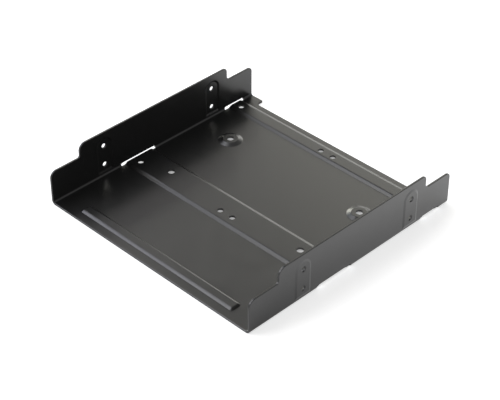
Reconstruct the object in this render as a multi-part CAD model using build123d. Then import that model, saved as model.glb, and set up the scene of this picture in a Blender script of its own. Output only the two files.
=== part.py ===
from build123d import *
import math
import os

# Sheet and folded channel, all sizes in millimetres
sheet_thickness = 1.2
outer_width = 146.0
bend_inner_radius = 1.2

# Hole patterns of the drives that stand on the floor
small_hole_diameter = 3.4
small_across = 61.72
small_along = 76.6
large_hole_diameter = 4.0
large_across = 95.25
large_along = 44.45

# Rows of these holes: the first small row, and the large row behind it
first_row = 56.2
row_gap = 5.4
small_side_margin = 5.2

# Raised bands across the floor, which carry the rows
raise_height = 1.1
slope_run = 1.6
foot_inner_radius = 0.5
crest_inner_radius = 1.2
first_band_before = 5.2
first_band_after = 6.8
second_band_before = 3.3
second_band_after = 4.3

# Relief slots that part the bands from the walls
slot_clearance = 0.25
slot_gap = 0.5
slot_corner_radius = 1.3
first_slot_before = 2.5
first_slot_after = 2.0
second_slot_before = 3.0
second_slot_after = 1.5

# Floor outline at the far end
far_margin = 3.5
floor_setback = 4.8
tab_reach = 10.2
tab_root_radius = 2.0
tab_tip_radius = 0.8

# Stiffening rib beside the near edge
rib_height = 1.1
rib_slope_run = 1.2
rib_start = 5.1
rib_base_width = 6.9
rib_end_margin = 16.9
rib_corner_radius = 1.6
rib_top_rounding = 1.2
rib_foot_rounding = 0.4

# Round seats under the far pair of the large pattern
seat_top_radius = 4.3
seat_base_radius = 6.8
seat_rounding = 1.0

# Pads with the screw holes in the side walls
side_along = 79.25
side_above = 11.84
side_row = 36.4
side_lower_height = 7.4
pad_radius = 5.5
pad_raise = 0.4
pad_slope_run = 1.2
pad_foot_gap = 0.2
side_hole_diameter = 3.0

# Wall outline, set from the pads
pad_top_margin = 3.26
step_height = 8.0
near_step_clearance = 11.15
far_step_clearance = 6.15
near_corner_radius = 4.0
near_foot_radius = 1.4
near_head_radius = 4.4
far_head_radius = 2.6
far_foot_radius = 2.2
far_corner_radius = 2.8

# Narrow break along the sheared edges
edge_break = 0.2

# Heights that follow from the sizes above
slope_angle = math.atan2(raise_height, slope_run)
band_top = sheet_thickness + raise_height
slot_top = band_top + slot_clearance
bend_outer_radius = bend_inner_radius + sheet_thickness
pad_bottom = bend_outer_radius + pad_foot_gap
side_upper_height = side_lower_height + side_above
wall_height = side_upper_height + pad_radius + pad_top_margin
end_height = wall_height - step_height

# Places across the tray
half_width = outer_width / 2
inner_face = half_width - sheet_thickness
bend_start = half_width - bend_outer_radius
slot_edge = inner_face - slot_gap
outer_small_column = slot_edge - small_side_margin
inner_small_column = outer_small_column - small_across

# Places along the tray, first as distances from the near edge
second_row = first_row + small_along
far_foot = second_row + second_band_after + slope_run
wall_length = far_foot + far_margin + floor_setback
near_end = -wall_length / 2
far_end = wall_length / 2
floor_far_end = far_end - floor_setback
small_rows = (near_end + first_row, near_end + second_row)
large_rows = (small_rows[0] + row_gap, small_rows[0] + row_gap + large_along)
side_rows = (near_end + side_row, near_end + side_row + side_along)
near_step = side_rows[0] - pad_radius - near_step_clearance
far_step = side_rows[1] + pad_radius + far_step_clearance


# Start and end of each band's flat top
def bands():
    first = (small_rows[0] - first_band_before, large_rows[0] + first_band_after)
    second = (small_rows[1] - second_band_before, small_rows[1] + second_band_after)
    return (first, second)


# Start and end of each slot, a little beyond the feet of its band
def slots():
    overhangs = (
        (first_slot_before, first_slot_after),
        (second_slot_before, second_slot_after),
    )
    ends = []
    for (start, end), (before, after) in zip(bands(), overhangs):
        ends.append((start - slope_run - before, end + slope_run + after))
    return ends


# The upper line of the floor seen from the side, with its two raised bands
def floor_line():
    points = [(near_end, sheet_thickness)]
    for start, end in bands():
        points.append((start - slope_run, sheet_thickness))
        points.append((start, band_top))
        points.append((end, band_top))
        points.append((end + slope_run, sheet_thickness))
    points.append((floor_far_end, sheet_thickness))
    return points


# The lower line, one sheet thickness away from the upper one
def under_line(points):
    shift = sheet_thickness * math.tan(slope_angle / 2)
    moved = []
    last = len(points) - 1
    for index, (y, z) in enumerate(points):
        step = shift if index % 4 in (1, 2) else -shift
        if index in (0, last):
            step = 0
        moved.append((y + step, z - sheet_thickness))
    return moved


# Each kink is bent round its inner radius, on whichever side is hollow
def kink_radius(is_upper, is_raised):
    inner = crest_inner_radius if is_raised else foot_inner_radius
    if is_upper == is_raised:
        return inner + sheet_thickness
    return inner


def floor_section():
    upper = floor_line()
    lower = under_line(upper)
    middle = raise_height / 2
    with BuildSketch(Plane.YZ) as section:
        with BuildLine():
            Polyline(*upper, *reversed(lower), close=True)
        make_face()
        for line, is_upper in ((upper, True), (lower, False)):
            base = sheet_thickness if is_upper else 0
            for y, z in line[1:-1]:
                corner = section.vertices().sort_by_distance((y, z, 0))[0]
                fillet(corner, kink_radius(is_upper, z > base + middle))
        for y in (near_end, floor_far_end):
            for z in (0, sheet_thickness):
                corner = section.vertices().sort_by_distance((y, z, 0))[0]
                chamfer(corner, edge_break)
    return section.sketch


def floor_plate():
    return extrude(floor_section(), bend_start, both=True)


# Ends of the bands, which reach past the bend line inside the slots
def band_ends():
    reach = slot_edge - bend_start
    plate = extrude(floor_section(), slot_edge, both=True)
    pieces = []
    for start, end in slots():
        for side in (-1, 1):
            centre = side * (bend_start + reach / 2)
            window = Box(reach, end - start, 4 * band_top)
            pieces.append(plate & Pos(centre, (start + end) / 2, 0) * window)
    return pieces


# One folded wall with its bend, standing on the positive side
def wall_section():
    with BuildSketch(Plane.XZ) as section:
        with BuildLine():
            Line((bend_start, 0), (bend_start, sheet_thickness))
            CenterArc((bend_start, bend_outer_radius), bend_inner_radius, 270, 90)
            Line((inner_face, bend_outer_radius), (inner_face, wall_height))
            Line((inner_face, wall_height), (half_width, wall_height))
            Line((half_width, wall_height), (half_width, bend_outer_radius))
            CenterArc((bend_start, bend_outer_radius), bend_outer_radius, 0, -90)
        make_face()
    return section.sketch


# The wall seen from the side: low at both ends, high between the two steps
def wall_outline():
    corners = (
        (near_end, end_height, near_corner_radius),
        (near_step, end_height, near_foot_radius),
        (near_step, wall_height, near_head_radius),
        (far_step, wall_height, far_head_radius),
        (far_step, end_height, far_foot_radius),
        (far_end, end_height, far_corner_radius),
    )
    with BuildSketch(Plane.YZ) as outline:
        with BuildLine():
            Polyline(
                (near_end, -1),
                *[(y, z) for y, z, radius in corners],
                (far_end, -1),
                close=True,
            )
        make_face()
        for y, z, radius in corners:
            corner = outline.vertices().sort_by_distance((y, z, 0))[0]
            fillet(corner, radius)
    return outline.sketch


def slot_cutter(start, end):
    with BuildSketch(Plane.YZ) as shape:
        with Locations(((start + end) / 2, 0)):
            Rectangle(end - start, 2 * slot_top)
        fillet(shape.vertices().group_by(Axis.Y)[-1], slot_corner_radius)
    return Pos(bend_start, 0, 0) * extrude(shape.sketch, 2 * bend_outer_radius)


# Edges where the cut faces meet the two faces of the sheet
def outline_edges(wall):
    edges = []
    for edge in wall.edges():
        middle = edge @ 0.5
        direction = edge % 0.5
        on_joint = abs(middle.X - bend_start) < 0.01
        across_sheet = abs(direction.X) > 0.99
        along_bend = abs(direction.Y) > 0.99 and middle.Z < bend_outer_radius + 0.01
        if not (on_joint or across_sheet or along_bend):
            edges.append(edge)
    return edges


def folded_wall():
    strip = extrude(wall_section(), wall_length / 2, both=True)
    outline = extrude(wall_outline(), outer_width, both=True)
    wall = strip & outline
    wall = chamfer(outline_edges(wall), edge_break)
    for start, end in slots():
        wall = wall - slot_cutter(start, end)
    return wall


# Small tab beside each wall that reaches past the far edge of the floor
def far_tab():
    left_x = half_width - tab_reach
    root_x = left_x - tab_root_radius
    with BuildSketch() as shape:
        with BuildLine():
            Polyline(
                (root_x, floor_far_end - 1),
                (root_x, floor_far_end),
                (left_x, floor_far_end),
                (left_x, far_end),
                (bend_start, far_end),
                (bend_start, floor_far_end - 1),
                close=True,
            )
        make_face()
        root = shape.vertices().sort_by_distance((left_x, floor_far_end, 0))[0]
        fillet(root, tab_root_radius * 0.99)
        tip = shape.vertices().sort_by_distance((left_x, far_end, 0))[0]
        fillet(tip, tab_tip_radius)
    tab = extrude(shape.sketch, sheet_thickness)
    return chamfer(tab_edges(tab), edge_break)


# Edges of the tab's free outline on its upper and its lower face
def tab_edges(tab):
    edges = []
    for edge in tab.edges():
        middle = edge @ 0.5
        upright = abs((edge % 0.5).Z) > 0.99
        on_joint = abs(middle.X - bend_start) < 0.01 or middle.Y < floor_far_end
        if not (upright or on_joint):
            edges.append(edge)
    return edges


def both_sides(piece):
    return [piece, mirror(piece, Plane.YZ)]


# Taper of a pressed form whose side runs out by a given distance
def taper_of(run, height):
    return math.degrees(math.atan2(run, height))


# Inset of the hollow side of a pressed form
def hollow_inset(run, height):
    return sheet_thickness * math.tan(math.atan2(height, run) / 2)


def rib_shape(inset):
    width = rib_base_width - 2 * inset
    length = outer_width - 2 * rib_end_margin - 2 * inset
    middle = near_end + rib_start + rib_base_width / 2
    return Pos(0, middle, 0) * RectangleRounded(length, width, rib_corner_radius)


def press_rib(body):
    taper = taper_of(rib_slope_run, rib_height)
    inset = hollow_inset(rib_slope_run, rib_height)
    crown = Pos(0, 0, sheet_thickness) * extrude(rib_shape(0), rib_height, taper=taper)
    hollow = extrude(rib_shape(inset), rib_height, taper=taper)
    body = body + crown
    body = body - hollow
    return round_rib(body)


def rib_edges(body, height):
    low = near_end + rib_start - 0.1
    high = low + rib_base_width + 0.2
    level = body.edges().filter_by_position(Axis.Z, height - 0.01, height + 0.01)
    return level.filter_by_position(Axis.Y, low, high)


def round_rib(body):
    body = fillet(rib_edges(body, sheet_thickness + rib_height), rib_top_rounding)
    body = fillet(rib_edges(body, 0), rib_foot_rounding)
    return body


def press_seat(body, x, y):
    run = seat_base_radius - seat_top_radius
    inset = hollow_inset(run, raise_height)
    crown = Cone(seat_base_radius, seat_top_radius, raise_height)
    hollow = Cone(seat_base_radius - inset, seat_top_radius - inset, raise_height)
    body = body + Pos(x, y, sheet_thickness + raise_height / 2) * crown
    body = body - Pos(x, y, raise_height / 2) * hollow
    return fillet(seat_rims(body, x, y), seat_rounding)


def seat_rims(body, x, y):
    rims = []
    for edge in body.edges().filter_by(GeomType.CIRCLE):
        centre = edge.arc_center
        if math.hypot(centre.X - x, centre.Y - y) < 0.01:
            rims.append(edge)
    return rims


def drill_floor(body):
    large_column = large_across / 2
    for side in (-1, 1):
        for x in (inner_small_column, outer_small_column):
            for y in small_rows:
                body = body - floor_hole(side * x, y, small_hole_diameter)
        for y in large_rows:
            body = body - floor_hole(side * large_column, y, large_hole_diameter)
    return body


def floor_hole(x, y, diameter):
    return Pos(x, y, 0) * Cylinder(diameter / 2, 4 * band_top)


# Upright pad, round at the top and square at the foot
def pad_shape(row, inset):
    radius = pad_radius - inset
    foot = pad_bottom + inset
    with BuildSketch(Plane.YZ) as shape:
        with Locations((row, (foot + side_upper_height) / 2)):
            Rectangle(2 * radius, side_upper_height - foot)
        with Locations((row, side_upper_height)):
            Circle(radius)
    return shape.sketch


def press_pad(body, row):
    taper = taper_of(pad_slope_run, pad_raise)
    inset = hollow_inset(pad_slope_run, pad_raise)
    crown = extrude(pad_shape(row, 0), pad_raise, taper=taper)
    hollow = extrude(pad_shape(row, inset), pad_raise, taper=taper)
    body = body + Pos(half_width, 0, 0) * crown
    return body - Pos(inner_face, 0, 0) * hollow


# Screw hole at the outer diameter of its thread, its rims broken on both faces
def side_hole():
    radius = side_hole_diameter / 2
    rim = radius + edge_break
    inner = inner_face + pad_raise
    outer = half_width + pad_raise
    with BuildSketch(Plane.XY) as half:
        with BuildLine():
            Polyline(
                (inner - 1, 0),
                (inner - 1, rim),
                (inner, rim),
                (inner + edge_break, radius),
                (outer - edge_break, radius),
                (outer, rim),
                (outer + 1, rim),
                (outer + 1, 0),
                close=True,
            )
        make_face()
    return revolve(half.sketch, Axis.X)


def finished_wall():
    wall = folded_wall()
    hole = side_hole()
    for row in side_rows:
        wall = press_pad(wall, row)
        for height in (side_lower_height, side_upper_height):
            wall = wall - Pos(0, row, height) * hole
    return wall


def bracket():
    body = floor_plate()
    for piece in both_sides(far_tab()):
        body = body + piece
    body = press_rib(body)
    for side in (-1, 1):
        body = press_seat(body, side * large_across / 2, large_rows[1])
    body = drill_floor(body)
    for piece in both_sides(finished_wall()):
        body = body + piece
    for piece in band_ends():
        body = body + piece
    return body


os.makedirs("parts", exist_ok=True)
solid = bracket()
export_step(solid, "parts/bracket.step")
print("bracket", solid.volume, solid.is_valid, len(solid.solids()))
print(solid.bounding_box())
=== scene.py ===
import bpy
import numpy as np
from mathutils import Matrix, Vector


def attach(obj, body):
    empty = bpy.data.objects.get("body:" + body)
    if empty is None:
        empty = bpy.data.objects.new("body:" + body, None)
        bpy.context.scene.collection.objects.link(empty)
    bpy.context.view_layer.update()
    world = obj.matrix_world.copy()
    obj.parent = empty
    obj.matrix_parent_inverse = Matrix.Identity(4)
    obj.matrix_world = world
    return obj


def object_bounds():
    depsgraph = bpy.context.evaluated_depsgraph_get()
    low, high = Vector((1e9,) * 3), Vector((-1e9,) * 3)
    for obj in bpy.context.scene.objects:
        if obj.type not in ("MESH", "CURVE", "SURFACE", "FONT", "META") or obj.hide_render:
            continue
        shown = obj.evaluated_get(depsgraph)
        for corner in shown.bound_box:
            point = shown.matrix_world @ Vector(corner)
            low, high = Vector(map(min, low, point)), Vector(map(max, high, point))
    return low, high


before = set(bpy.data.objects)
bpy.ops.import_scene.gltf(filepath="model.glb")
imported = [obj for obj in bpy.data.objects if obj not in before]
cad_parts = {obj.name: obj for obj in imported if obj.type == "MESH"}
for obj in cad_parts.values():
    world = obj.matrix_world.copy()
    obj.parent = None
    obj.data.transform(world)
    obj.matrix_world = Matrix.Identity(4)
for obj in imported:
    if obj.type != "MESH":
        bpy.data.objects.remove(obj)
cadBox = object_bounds()
print("frame loaded", [tuple(corner) for corner in cadBox])


# An sRGB hex colour as the linear numbers that a shader takes: each channel is divided by
# 12.92 near black, and is (c + 0.055) / 1.055 to the power 2.4 above that
def hexToLinear(hexColour):
    channels = [int(hexColour[i : i + 2], 16) / 255 for i in (1, 3, 5)]
    linear = [c / 12.92 if c <= 0.04045 else ((c + 0.055) / 1.055) ** 2.4 for c in channels]
    return linear + [1.0]


# Adds one node, sets its properties and values, and links what is given as a socket or,
# from its first output, as a node
def addNode(tree, kind, settings=None, values=None):
    node = tree.nodes.new(kind)
    for name, value in (settings or {}).items():
        setattr(node, name, value)
    for name, value in (values or {}).items():
        if isinstance(value, bpy.types.Node):
            value = value.outputs[0]
        if isinstance(value, bpy.types.NodeSocket):
            tree.links.new(value, node.inputs[name])
        else:
            node.inputs[name].default_value = value
    return node


# The camera stands in front to the right and looks down on the tray
cameraSettings = {
    "place": (0.45943, -0.46103, 0.4885),  # metres
    "turn": 44.8701,  # degrees to the left of straight ahead
    "dip": 36.7903,  # degrees below the horizon
    "roll": 0.1512,  # degrees
    "focalPixels": 1552.42,  # focal length in pixels of a frame 500 wide
    "frameWidth": 500,
    "shiftPixels": (-0.5, 0.5),
    "sensorWidth": 36.0,  # mm
    "clip": (0.01, 50.0),  # metres
}


# Viewing direction from the turn and the dip, then the roll about it
def makeCamera(s):
    turn, dip, roll = np.radians([s["turn"], -s["dip"], s["roll"]])
    forward = np.array([-np.sin(turn) * np.cos(dip), np.cos(turn) * np.cos(dip), np.sin(dip)])
    side = np.cross(forward, (0, 0, 1))
    side /= np.linalg.norm(side)
    up = np.cross(side, forward)
    rolledSide = side * np.cos(roll) + up * np.sin(roll)
    rolledUp = up * np.cos(roll) - side * np.sin(roll)
    data = bpy.data.cameras.new("camera")
    data.sensor_width = s["sensorWidth"]
    data.lens = s["focalPixels"] / s["frameWidth"] * data.sensor_width
    data.clip_start, data.clip_end = s["clip"]
    data.shift_x, data.shift_y = [pixels / s["frameWidth"] for pixels in s["shiftPixels"]]
    camera = bpy.data.objects.new("camera", data)
    columns = np.column_stack([rolledSide, rolledUp, -forward, s["place"]])
    camera.matrix_world = Matrix([*columns.tolist(), [0, 0, 0, 1]])
    bpy.context.scene.collection.objects.link(camera)
    bpy.context.scene.camera = camera


makeCamera(cameraSettings)
print("camera made")


paintSettings = {
    "colour": "#121212",
    "roughness": 0.3,
    "roughnessSpread": 0.02,
    "patchSize": 9.0,  # mm
    "patchDetail": 2.0,
    "patchRange": (0.3, 0.7),  # noise values from the glossiest to the dullest patches
    "peelSize": 0.9,  # mm
    "peelDetail": 1.0,
    "peelDepth": 0.004,  # mm
    "ior": 1.5,
    "specular": 1.0,
}


# Satin powder coat: almost no colour of its own, so that the eye sees a soft, blurred mirror
# of the room. A faint orange peel breaks up the mirror, and the gloss differs a little in
# patches, as powder that melted unevenly. Roughness = its mean plus or minus its spread, with
# the noise, and each noise repeats about once in its size in millimetres.
def paintedSteel(s):
    material = bpy.data.materials.new("satinBlackPowderCoat")
    material.use_nodes = True
    tree = material.node_tree
    tree.nodes.clear()
    place = addNode(tree, "ShaderNodeTexCoord").outputs["Object"]
    patches = addNode(
        tree,
        "ShaderNodeTexNoise",
        values={"Vector": place, "Scale": 1000 / s["patchSize"], "Detail": s["patchDetail"]},
    )
    gloss = addNode(
        tree,
        "ShaderNodeMapRange",
        values={
            "Value": patches,
            "From Min": s["patchRange"][0],
            "From Max": s["patchRange"][1],
            "To Min": s["roughness"] - s["roughnessSpread"],
            "To Max": s["roughness"] + s["roughnessSpread"],
        },
    )
    peel = addNode(
        tree,
        "ShaderNodeTexNoise",
        values={"Vector": place, "Scale": 1000 / s["peelSize"], "Detail": s["peelDetail"]},
    )
    relief = addNode(
        tree,
        "ShaderNodeBump",
        values={"Height": peel, "Strength": 1.0, "Distance": s["peelDepth"] / 1000},
    )
    shader = addNode(
        tree,
        "ShaderNodeBsdfPrincipled",
        values={
            "Base Color": hexToLinear(s["colour"]),
            "Roughness": gloss,
            "IOR": s["ior"],
            "Specular IOR Level": s["specular"],
            "Normal": relief,
        },
    )
    addNode(tree, "ShaderNodeOutputMaterial", values={"Surface": shader})
    return material


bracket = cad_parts["bracket"]
paint = paintedSteel(paintSettings)
bracket.data.materials.clear()
bracket.data.materials.append(paint)
print("bracket painted")


# Thread ridges in the eight screw holes of the walls, M3 with a pitch of half a millimetre,
# all in millimetres
threadSettings = {
    "sheetThickness": 1.2,
    "firstRow": 36.4,  # from the near end of the walls
    "rowSpacing": 79.25,
    "firstHeight": 7.4,
    "heightSpacing": 11.84,
    "pitch": 0.5,
    "turns": 1.6,
    "taperTurns": 0.25,  # over which the ridge grows and shrinks
    "endShare": 0.02,  # of the full ridge at its very ends
    "rootRadius": 1.52,  # a little inside the sheet
    "crestRadius": 1.23,
    "rootHalfWidth": 0.22,
    "crestHalfWidth": 0.06,
    "stepsPerTurn": 32,
}


# A helix about X: x = pitch * t / 2 pi, y = r cos t, z = r sin t. Four points across the
# ridge, whose height and width grow from nearly nothing and shrink again at its two ends.
def threadRidge(s):
    count = int(s["turns"] * s["stepsPerTurn"]) + 1
    t = np.linspace(0, 2 * np.pi * s["turns"], count)
    fromEnd = np.minimum(t, t[-1] - t) / (2 * np.pi * s["taperTurns"])
    grown = np.clip(fromEnd, s["endShare"], 1)
    rise = (s["rootRadius"] - s["crestRadius"]) * grown
    axial = s["pitch"] * (t - t[-1] / 2) / (2 * np.pi)
    rings = []
    for side, isCrest in ((-1, False), (-1, True), (1, True), (1, False)):
        radius = s["rootRadius"] - rise * isCrest
        half = s["crestHalfWidth"] if isCrest else s["rootHalfWidth"]
        x = axial + side * half * grown
        rings.append(np.column_stack([x, radius * np.cos(t), radius * np.sin(t)]))
    return np.stack(rings, axis=1)


# Quads between neighbouring rings of four points, and one more to close each end
def ridgeFaces(ringCount):
    i = 4 * np.arange(ringCount - 1)[:, None]
    j = np.arange(4)[None, :]
    k = (j + 1) % 4
    sides = np.stack([i + j, i + k, i + 4 + k, i + 4 + j], axis=-1).reshape(-1, 4)
    last = 4 * (ringCount - 1)
    ends = np.array([[3, 2, 1, 0], [last, last + 1, last + 2, last + 3]])
    return np.concatenate([sides, ends])


# Middles of the holes: half a sheet inside the pads' faces, two rows, two heights
def holeCentres(s):
    padFace = 1000 * cadBox[1][0]
    nearEnd = 1000 * cadBox[0][1]
    across = np.array([-1, 1]) * (padFace - s["sheetThickness"] / 2)
    rows = nearEnd + s["firstRow"] + np.array([0, s["rowSpacing"]])
    heights = s["firstHeight"] + np.array([0, s["heightSpacing"]])
    return np.stack(np.meshgrid(across, rows, heights, indexing="ij"), axis=-1).reshape(-1, 3)


# One ridge, carried to the middle of each hole
def makeThreads(s):
    ridge = threadRidge(s)
    centres = holeCentres(s)
    points = (centres[:, None, None, :] + ridge).reshape(-1, 3) / 1000
    firsts = 4 * len(ridge) * np.arange(len(centres))[:, None, None]
    faces = (firsts + ridgeFaces(len(ridge))).reshape(-1, 4)
    mesh = bpy.data.meshes.new("wallThreads")
    mesh.from_pydata(points.tolist(), [], faces.tolist())
    mesh.materials.append(paint)
    threads = bpy.data.objects.new("wallThreads", mesh)
    bpy.context.scene.collection.objects.link(threads)
    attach(threads, "root")


makeThreads(threadSettings)
print("threads cut")


# White paper under the bracket. The camera sees it glow a little, so that its open part is
# plain white and only a faint shade is left beside the bracket. Under the floor the glow is cut
# down, a painted shade as seen through the holes. Only the paint's mirror sees a painted
# light that grows towards the far right corner, a painted reflection.
tableSettings = {
    "colour": "#f2f2f2",
    "halfSize": 6.0,  # metres
    "glow": 0.65,
    "paintedShadeShare": 0.55,  # of the glow that is left under the floor, as painted shade
    "paintedShadeStart": (62.0, 65.5),  # mm from the middle along X and Y, up to where the painted shade is full
    "paintedShadeEnd": (68.0, 69.5),  # mm from the middle along X and Y, where the painted shade ends
    "paintedReflectionStart": -65.0,  # mm of x + y, where the glow of the painted reflection is 0
    "paintedReflectionEnd": 185.0,  # mm of x + y, where the glow of the painted reflection is 1
}


# Painted shade: share = the larger of two ramps over |x| and |y|, from the share left under the
# floor to 1, so the paper glows less where the floor stands over it. Glow = share * (camera ray
# * glow + mirror ray * a ramp over x + y), where a mirror ray is a glossy ray or a transmission
# ray; the ramp over x + y is a painted reflection, seen only in mirrors.
def glowLevel(tree, s):
    place = addNode(tree, "ShaderNodeTexCoord").outputs["Object"]
    axes = addNode(tree, "ShaderNodeSeparateXYZ", values={0: place}).outputs
    ramps = []
    for axis, start, end in zip(axes, s["paintedShadeStart"], s["paintedShadeEnd"]):
        distance = addNode(tree, "ShaderNodeMath", {"operation": "ABSOLUTE"}, {0: axis})
        ramp = addNode(
            tree,
            "ShaderNodeMapRange",
            values={
                "Value": distance,
                "From Min": start / 1000,
                "From Max": end / 1000,
                "To Min": s["paintedShadeShare"],
            },
        )
        ramps.append(ramp)
    # Painted shade: the glow is cut down under the floor
    paintedShadeFactor = addNode(tree, "ShaderNodeMath", {"operation": "MAXIMUM"}, dict(enumerate(ramps)))
    diagonal = addNode(tree, "ShaderNodeMath", {"operation": "ADD"}, {0: axes[0], 1: axes[1]})
    # Painted reflection: a glow seen only by mirror rays, growing towards the far right corner
    paintedReflectionGlow = addNode(
        tree,
        "ShaderNodeMapRange",
        values={
            "Value": diagonal,
            "From Min": s["paintedReflectionStart"] / 1000,
            "From Max": s["paintedReflectionEnd"] / 1000,
        },
    )
    rays = addNode(tree, "ShaderNodeLightPath").outputs
    mirrored = addNode(
        tree,
        "ShaderNodeMath",
        {"operation": "MAXIMUM"},
        {0: rays["Is Glossy Ray"], 1: rays["Is Transmission Ray"]},
    )
    toCamera = addNode(
        tree, "ShaderNodeMath", {"operation": "MULTIPLY"}, {0: rays["Is Camera Ray"], 1: s["glow"]}
    )
    toBoth = addNode(
        tree,
        "ShaderNodeMath",
        {"operation": "MULTIPLY_ADD"},
        {0: mirrored, 1: paintedReflectionGlow, 2: toCamera},
    )
    return addNode(tree, "ShaderNodeMath", {"operation": "MULTIPLY"}, {0: toBoth, 1: paintedShadeFactor})


# Colour seen = matt paper lit by the lamps + glow, which holds a painted shade under the floor
# and a painted reflection
def whitePaper(s):
    material = bpy.data.materials.new("whitePaper")
    material.use_nodes = True
    tree = material.node_tree
    tree.nodes.clear()
    glow = addNode(tree, "ShaderNodeEmission", values={"Strength": glowLevel(tree, s)})
    matt = addNode(tree, "ShaderNodeBsdfDiffuse", values={"Color": hexToLinear(s["colour"])})
    both = addNode(tree, "ShaderNodeAddShader", values={0: matt, 1: glow})
    addNode(tree, "ShaderNodeOutputMaterial", values={"Surface": both})
    return material


# One square in the plane of the bracket's underside
def makeTable(s):
    mesh = bpy.data.meshes.new("table")
    half = s["halfSize"]
    corners = [(-half, -half, 0), (half, -half, 0), (half, half, 0), (-half, half, 0)]
    mesh.from_pydata(corners, [], [(0, 1, 2, 3)])
    mesh.materials.append(whitePaper(s))
    table = bpy.data.objects.new("table", mesh)
    bpy.context.scene.collection.objects.link(table)


makeTable(tableSettings)
print("table laid")


lightSettings = {
    "world": 0.3,
    "distance": 2.0,  # metres
    "diameter": 0.9,  # metres
    # azimuth clockwise from +Y in degrees, elevation in degrees, radiance, colour
    "lamps": {
        "frontHigh": (210, 30, 3.67, "#fcfcff"),
        "leftTop": (225, 60, 2.9, "#fffefb"),
        "leftHigh": (240, 30, 2.3, "#e8e9ff"),
        "sideHigh": (270, 30, 1.8, "#e6f6ff"),
        "sideTop": (270, 60, 1.7, "#f3f5ff"),
        "backLeftLow": (300, 16, 4.4, "#fffff2"),
        "backLeftHigh": (300, 30, 0.45, "#fff8f8"),
        "backLow": (330, 16, 2.2, "#fffefa"),
        "backHigh": (330, 30, 1.03, "#fffcec"),
    },
}


# Place on a sphere round the tray from azimuth and elevation. Power in watts is radiance
# times pi times the disc's area.
def makeLamp(name, azimuth, elevation, radiance, colour, distance, diameter):
    a, e = np.radians([azimuth, elevation])
    direction = np.array([np.sin(a) * np.cos(e), np.cos(a) * np.cos(e), np.sin(e)])
    discArea = np.pi * diameter**2 / 4
    data = bpy.data.lights.new(name, "AREA")
    data.shape = "DISK"
    data.size = diameter
    data.color = hexToLinear(colour)[:3]
    data.energy = radiance * np.pi * discArea
    lamp = bpy.data.objects.new(name, data)
    lamp.location = direction * distance
    lamp.rotation_euler = Vector(direction).to_track_quat("Z", "Y").to_euler()
    bpy.context.scene.collection.objects.link(lamp)


# Even white light of one strength from all around
def makeWorld(strength):
    world = bpy.data.worlds.new("studio")
    bpy.context.scene.world = world
    world.use_nodes = True
    tree = world.node_tree
    tree.nodes.clear()
    white = hexToLinear("#ffffff")
    background = addNode(
        tree, "ShaderNodeBackground", values={"Color": white, "Strength": strength}
    )
    addNode(tree, "ShaderNodeOutputWorld", values={"Surface": background})


makeWorld(lightSettings["world"])
for lampName, lampValues in lightSettings["lamps"].items():
    makeLamp(lampName, *lampValues, lightSettings["distance"], lightSettings["diameter"])
bpy.context.scene.view_settings.view_transform = "Standard"
print("studio lit")
